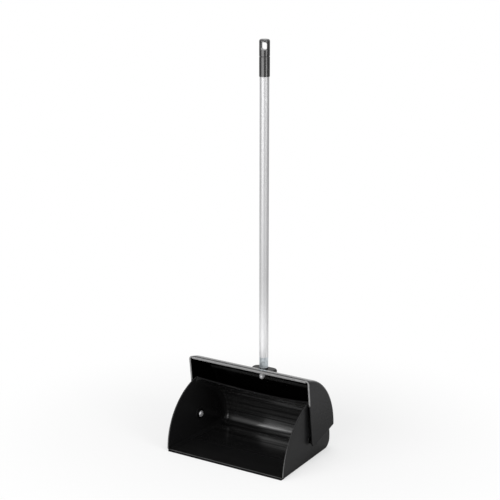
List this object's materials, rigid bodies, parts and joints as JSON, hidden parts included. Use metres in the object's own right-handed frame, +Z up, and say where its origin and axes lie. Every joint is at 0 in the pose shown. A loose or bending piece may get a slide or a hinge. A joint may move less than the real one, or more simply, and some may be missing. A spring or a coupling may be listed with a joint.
{
  "type": "lobby dustpan",
  "caption": "Upright lobby dustpan: black floor scoop with a drum-shaped hood hinged at its sides, worked by a long silver tube handle with a grip cap and hang hole.",
  "frame": {"origin": "on the floor, under the middle of the part's bounding box", "axes": "+X to the right seen from the open front, +Y to the back, +Z up along the handle"},
  "size_m": [0.3372, 0.236, 0.978],
  "materials": {
    "scoop_plastic": "black moulded plastic, satin to gloss, scuffed on the floor",
    "lip_rubber": "soft black lip, matte",
    "bush_plastic": "dark slippery plastic",
    "hood_plastic": "black moulded plastic, satin",
    "socket_plastic": "black moulded plastic, satin",
    "zinc": "zinc-plated steel",
    "nut_plating": "bright plated steel",
    "galvanised": "galvanised steel, faintly mottled",
    "sheath_silver": "satin silver coating",
    "cap_plastic": "dark grey moulded plastic, matte",
    "pin_plating": "zinc-plated steel, domed head"
  },
  "bodies": {
    "scoop": {"scoop": "scoop_plastic", "front_lip": "lip_rubber", "pivot_bush_left": "bush_plastic", "pivot_bush_right": "bush_plastic"},
    "hood": {"hood": "hood_plastic", "handle_socket": "socket_plastic", "handle_stud": "zinc", "stud_washer": "zinc", "dome_nut": "nut_plating", "handle_tube": "galvanised", "tube_sheath": "sheath_silver", "grip_cap": "cap_plastic", "pivot_pin_left": "pin_plating", "pivot_pin_right": "pin_plating"}
  },
  "joints": [
    {"name": "hood_pivot", "type": "hinge", "parent": "scoop", "child": "hood", "pos_m": [0, 0.011, 0.055], "axis": [1, 0, 0], "range_deg": [0, 90]}
  ]
}
